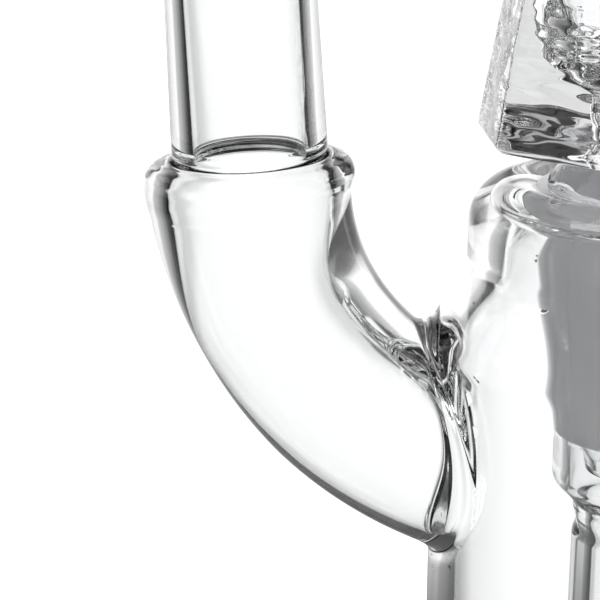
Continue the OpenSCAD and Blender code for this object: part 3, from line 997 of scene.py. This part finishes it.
def smooth_step(nodes, links, value, low, high):
    """0 up to low and 1 from high on."""
    step = nodes.new("ShaderNodeMapRange")
    step.interpolation_type = "SMOOTHSTEP"
    step.inputs["From Min"].default_value = low
    step.inputs["From Max"].default_value = high
    links.new(value, step.inputs["Value"])
    return step.outputs["Result"]


def plain_grey(nodes, grey):
    colour = nodes.new("ShaderNodeRGB")
    colour.outputs[0].default_value = (grey, grey, grey, 1)
    return colour.outputs[0]


def light_path(nodes, links, *outputs):
    """Adds up one or two Light Path outputs, limited to 1."""
    path = nodes.new("ShaderNodeLightPath")
    total = nodes.new("ShaderNodeMath")
    total.operation = "ADD"
    total.use_clamp = True
    for i, output in enumerate(outputs):
        links.new(path.outputs[output], total.inputs[i])
    if len(outputs) == 1:
        total.inputs[1].default_value = 0.0
    return total.outputs[0]


def blend(nodes, links, share, first, second):
    mix = nodes.new("ShaderNodeMix")
    mix.data_type = "RGBA"
    links.new(share, mix.inputs["Factor"])
    links.new(first, mix.inputs["A"])
    links.new(second, mix.inputs["B"])
    return mix.outputs["Result"]


def seen_or_lit(nodes, links, plain, patterned):
    """Plain to the camera and to matt surfaces, patterned to what glass bends and mirrors."""
    mix = nodes.new("ShaderNodeMix")
    mix.data_type = "RGBA"
    links.new(light_path(nodes, links, "Is Camera Ray", "Diffuse Depth"), mix.inputs["Factor"])
    links.new(patterned, mix.inputs["A"])
    mix.inputs["B"].default_value = plain
    return mix.outputs["Result"]


def make_floor():
    mesh = bpy.data.meshes.new("floor")
    corners = [(x * FLOOR_SIZE, y * FLOOR_SIZE, 0) for x, y in ((-1, -1), (1, -1), (1, 1), (-1, 1))]
    mesh.from_pydata(corners, [], [(0, 1, 2, 3)])
    floor = bpy.data.objects.new("floor", mesh)
    bpy.context.scene.collection.objects.link(floor)
    material, nodes, links, shader = new_material("pale_floor")
    shader.inputs["Roughness"].default_value = 0.9
    shader.inputs["Specular IOR Level"].default_value = 0.0
    spot = nodes.new("ShaderNodeTexCoord").outputs["Object"]
    reach = nodes.new("ShaderNodeVectorMath")
    reach.operation = "LENGTH"
    links.new(spot, reach.inputs[0])
    distance = reach.outputs["Value"]
    # Painted light and shade in the floor's glow, seen only by rays the glass bends or mirrors:
    # bright sectors stand in for lamps, dark sectors for flags, and a dark patch right under the
    # glass for shade. The camera sees the floor plain, and its lit grey is hidden from glass rays.
    through = blend(nodes, links, smooth_step(nodes, links, distance, FOOT_REACH, ROOM_REACH),
                    plain_grey(nodes, PAPER), bearing_ramp(nodes, links, spot, THROUGH_STOPS))
    edge = blend(nodes, links, smooth_step(nodes, links, distance, DARK_REACH, LIT_REACH),
                 bearing_ramp(nodes, links, spot, UNDER_STOPS),
                 bearing_ramp(nodes, links, spot, EDGE_STOPS))
    pattern = blend(nodes, links, light_path(nodes, links, "Glossy Depth"), through, edge)
    matt = seen_or_lit(nodes, links, (0.35, 0.35, 0.355, 1), plain_grey(nodes, 0))
    links.new(matt, shader.inputs["Base Color"])
    glow = seen_or_lit(nodes, links, (0.82, 0.82, 0.82, 1), pattern)
    links.new(glow, shader.inputs["Emission Color"])
    shader.inputs["Emission Strength"].default_value = 1.0
    mesh.materials.append(material)


def make_world():
    world = bpy.data.worlds.new("studio")
    bpy.context.scene.world = world
    world.use_nodes = True
    nodes, links = world.node_tree.nodes, world.node_tree.links
    background = nodes["Background"]
    way = nodes.new("ShaderNodeTexCoord").outputs["Generated"]
    split = nodes.new("ShaderNodeSeparateXYZ")
    links.new(way, split.inputs[0])
    height = split.outputs["Z"]
    low = blend(nodes, links, light_path(nodes, links, "Glossy Depth"),
                bearing_ramp(nodes, links, way, THROUGH_STOPS),
                bearing_ramp(nodes, links, way, EDGE_STOPS))
    all_round = blend(nodes, links, smooth_step(nodes, links, height, STRIPS_START, STRIPS_FULL),
                      low, bearing_ramp(nodes, links, way, HIGH_STOPS))
    dim = nodes.new("ShaderNodeMix")
    dim.data_type = "RGBA"
    dim.blend_type = "MULTIPLY"
    dim.inputs["Factor"].default_value = 1.0
    links.new(all_round, dim.inputs["A"])
    links.new(grey_ramp(nodes, links, height, SKY_STOPS), dim.inputs["B"])
    colour = seen_or_lit(nodes, links, (1.05, 1.05, 1.05, 1), dim.outputs["Result"])
    links.new(colour, background.inputs["Color"])
    background.inputs["Strength"].default_value = 1.0


def area_light(name, place, target, size, power):
    data = bpy.data.lights.new(name, "AREA")
    data.shape = "RECTANGLE"
    data.size, data.size_y = size
    data.energy = power
    light = bpy.data.objects.new(name, data)
    light.location = place
    light.rotation_euler = (Vector(target) - Vector(place)).to_track_quat("-Z", "Y").to_euler()
    bpy.context.scene.collection.objects.link(light)


def make_camera():
    """Looks down at the side of the chamber, from the front."""
    data = bpy.data.cameras.new("camera")
    data.sensor_width = 36
    data.lens = 108
    data.clip_start = 0.01
    camera = bpy.data.objects.new("camera", data)
    target = Vector(CAMERA_TARGET) * METRES
    pitch = math.radians(CAMERA_PITCH)
    distance = CAMERA_DISTANCE * METRES
    camera.location = target + Vector((0, -math.cos(pitch), math.sin(pitch))) * distance
    camera.rotation_euler = (target - camera.location).to_track_quat("-Z", "Y").to_euler()
    bpy.context.scene.collection.objects.link(camera)
    bpy.context.scene.camera = camera


make_floor()
make_world()
area_light("overhead_softbox", place=(-0.1, -0.1, 0.9), target=(-0.03, 0, 0.1),
           size=(0.7, 0.5), power=6)
make_camera()

scene = bpy.context.scene
scene.view_settings.view_transform = "Standard"
scene.cycles.max_bounces = 32
scene.cycles.transmission_bounces = 32
scene.cycles.glossy_bounces = 12
scene.cycles.transparent_max_bounces = 64
scene.cycles.caustics_reflective = False
scene.cycles.caustics_refractive = True
scene.cycles.sample_clamp_indirect = 4.0
